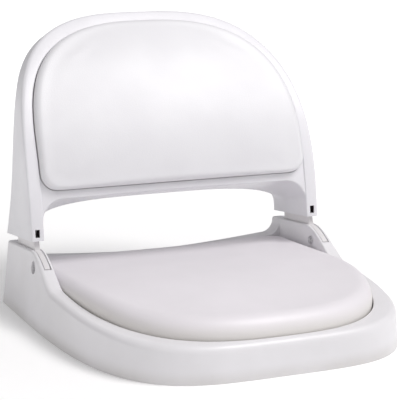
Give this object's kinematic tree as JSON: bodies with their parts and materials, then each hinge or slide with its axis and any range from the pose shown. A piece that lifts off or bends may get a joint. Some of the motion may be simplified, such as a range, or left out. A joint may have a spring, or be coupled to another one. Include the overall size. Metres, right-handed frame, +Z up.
{
  "type": "folding boat seat",
  "caption": "Low moulded boat seat with a hinged, forward-folding back, white padded vinyl cushions and a bolt pattern underneath for a pedestal.",
  "frame": {"origin": "centre of the underside mounting pattern, on the plane of the base's lower edge and hub", "axes": "+X to the sitter's left, -Y to the front of the seat, +Z up"},
  "size_m": [0.4748, 0.5592, 0.4187],
  "materials": {
    "moulded_plastic": "white UV-stable moulded polypropylene, satin",
    "arm_plastic": "white glass-filled nylon, satin",
    "vinyl": "white marine vinyl, fine grain",
    "foam": "closed-cell cushion foam, inside the cover",
    "board": "black rot-proof plastic backing board, inside the cover",
    "stainless_steel": "plain stainless steel",
    "nylon": "natural nylon",
    "brass": "plain turned brass"
  },
  "bodies": {
    "base": {"seat_base_shell": "moulded_plastic", "seat_cushion_cover": "vinyl", "seat_cushion_foam": "foam", "seat_cushion_board": "board", "seat_cushion_screw_1": "stainless_steel", "seat_cushion_screw_2": "stainless_steel", "seat_cushion_screw_3": "stainless_steel", "seat_cushion_screw_4": "stainless_steel", "seat_cushion_screw_5": "stainless_steel", "seat_cushion_screw_6": "stainless_steel", "threaded_insert_1": "brass", "threaded_insert_2": "brass", "threaded_insert_3": "brass", "threaded_insert_4": "brass", "threaded_insert_5": "brass", "threaded_insert_6": "brass", "threaded_insert_7": "brass", "threaded_insert_8": "brass", "hinge_pin_left": "stainless_steel", "hinge_pin_right": "stainless_steel", "pin_retainer_left": "stainless_steel", "pin_retainer_right": "stainless_steel", "thrust_washer_left_inner": "nylon", "thrust_washer_left_outer": "nylon", "thrust_washer_right_inner": "nylon", "thrust_washer_right_outer": "nylon"},
    "back": {"back_shell": "moulded_plastic", "hinge_arm_left": "arm_plastic", "hinge_arm_right": "arm_plastic", "back_cushion_cover": "vinyl", "back_cushion_foam": "foam", "back_cushion_board": "board", "back_cushion_screw_1": "stainless_steel", "back_cushion_screw_2": "stainless_steel", "back_cushion_screw_3": "stainless_steel", "back_cushion_screw_4": "stainless_steel"}
  },
  "joints": [
    {"name": "back_fold", "type": "hinge", "parent": "base", "child": "back", "pos_m": [0, 0.1078, 0.081], "axis": [1, 0, 0], "range_deg": [0, 95]}
  ]
}
